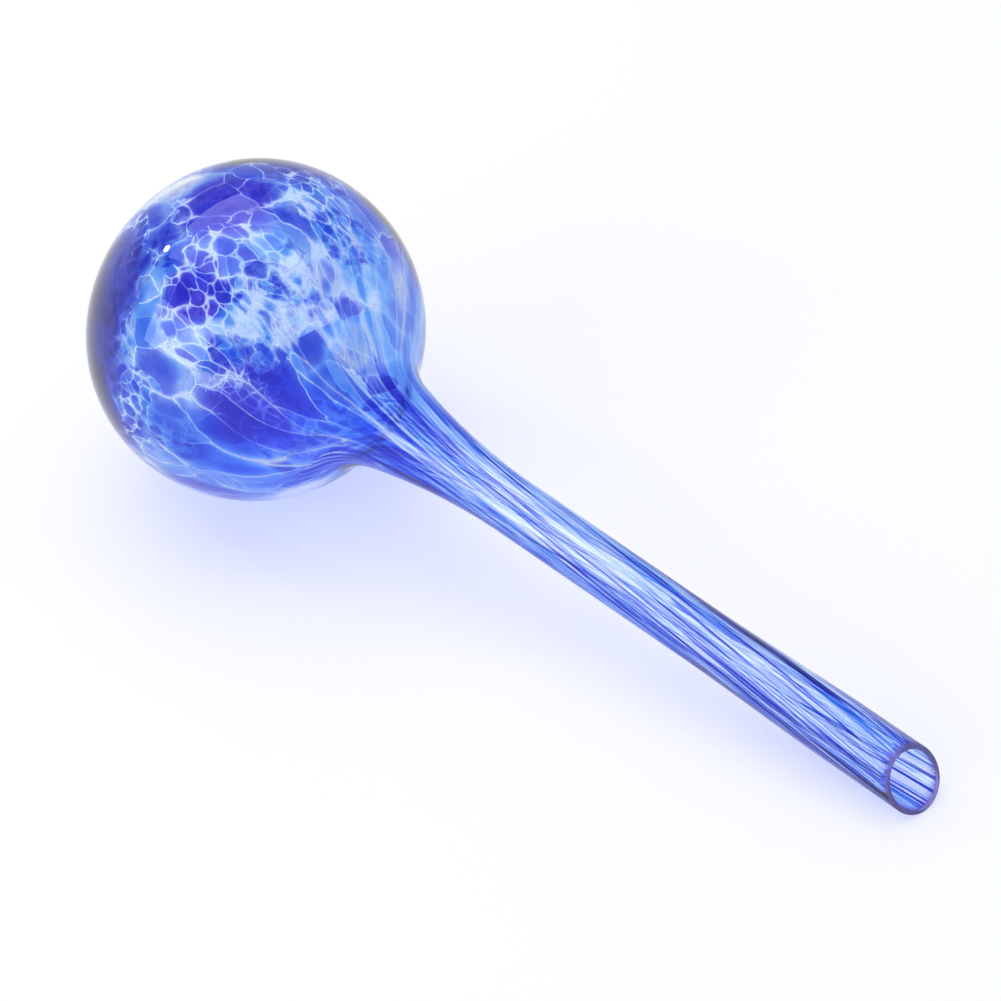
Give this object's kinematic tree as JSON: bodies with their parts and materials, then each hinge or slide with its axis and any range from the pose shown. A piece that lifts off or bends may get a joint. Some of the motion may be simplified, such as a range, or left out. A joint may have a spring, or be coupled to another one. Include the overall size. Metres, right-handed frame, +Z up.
{
  "type": "watering globe",
  "caption": "Blown glass watering globe with a hollow stem: filled with water and pushed mouth down into potting soil, it waters a plant slowly.",
  "frame": {"origin": "on the table under the middle of the glass as it lies at rest", "axes": "+X level, from the globe towards the mouth; +Z up. The stem slopes down by 10.2 degrees to the slanted mouth, which rests on the table."},
  "size_m": [0.2477, 0.09, 0.0899],
  "materials": {
    "clear_glass": "clear blown glass, polished by the flame",
    "cobalt_glass": "deep blue glass chips, fused into the wall",
    "sky_glass": "light blue glass chips, fused into the wall",
    "milky_glass": "white, slightly milky glass chips, fused into the wall",
    "violet_glass": "violet glass chips, fused into the wall"
  },
  "bodies": {
    "root": {"clear_casing": "clear_glass", "inner_bubble": "clear_glass", "cobalt_globe_chips": "cobalt_glass", "sky_globe_chips": "sky_glass", "milky_globe_chips": "milky_glass", "violet_globe_chips": "violet_glass", "cobalt_neck_chips": "cobalt_glass", "sky_neck_chips": "sky_glass", "milky_neck_chips": "milky_glass", "cobalt_stem_streaks": "cobalt_glass", "sky_stem_streaks": "sky_glass", "milky_stem_streaks": "milky_glass"}
  },
  "joints": []
}
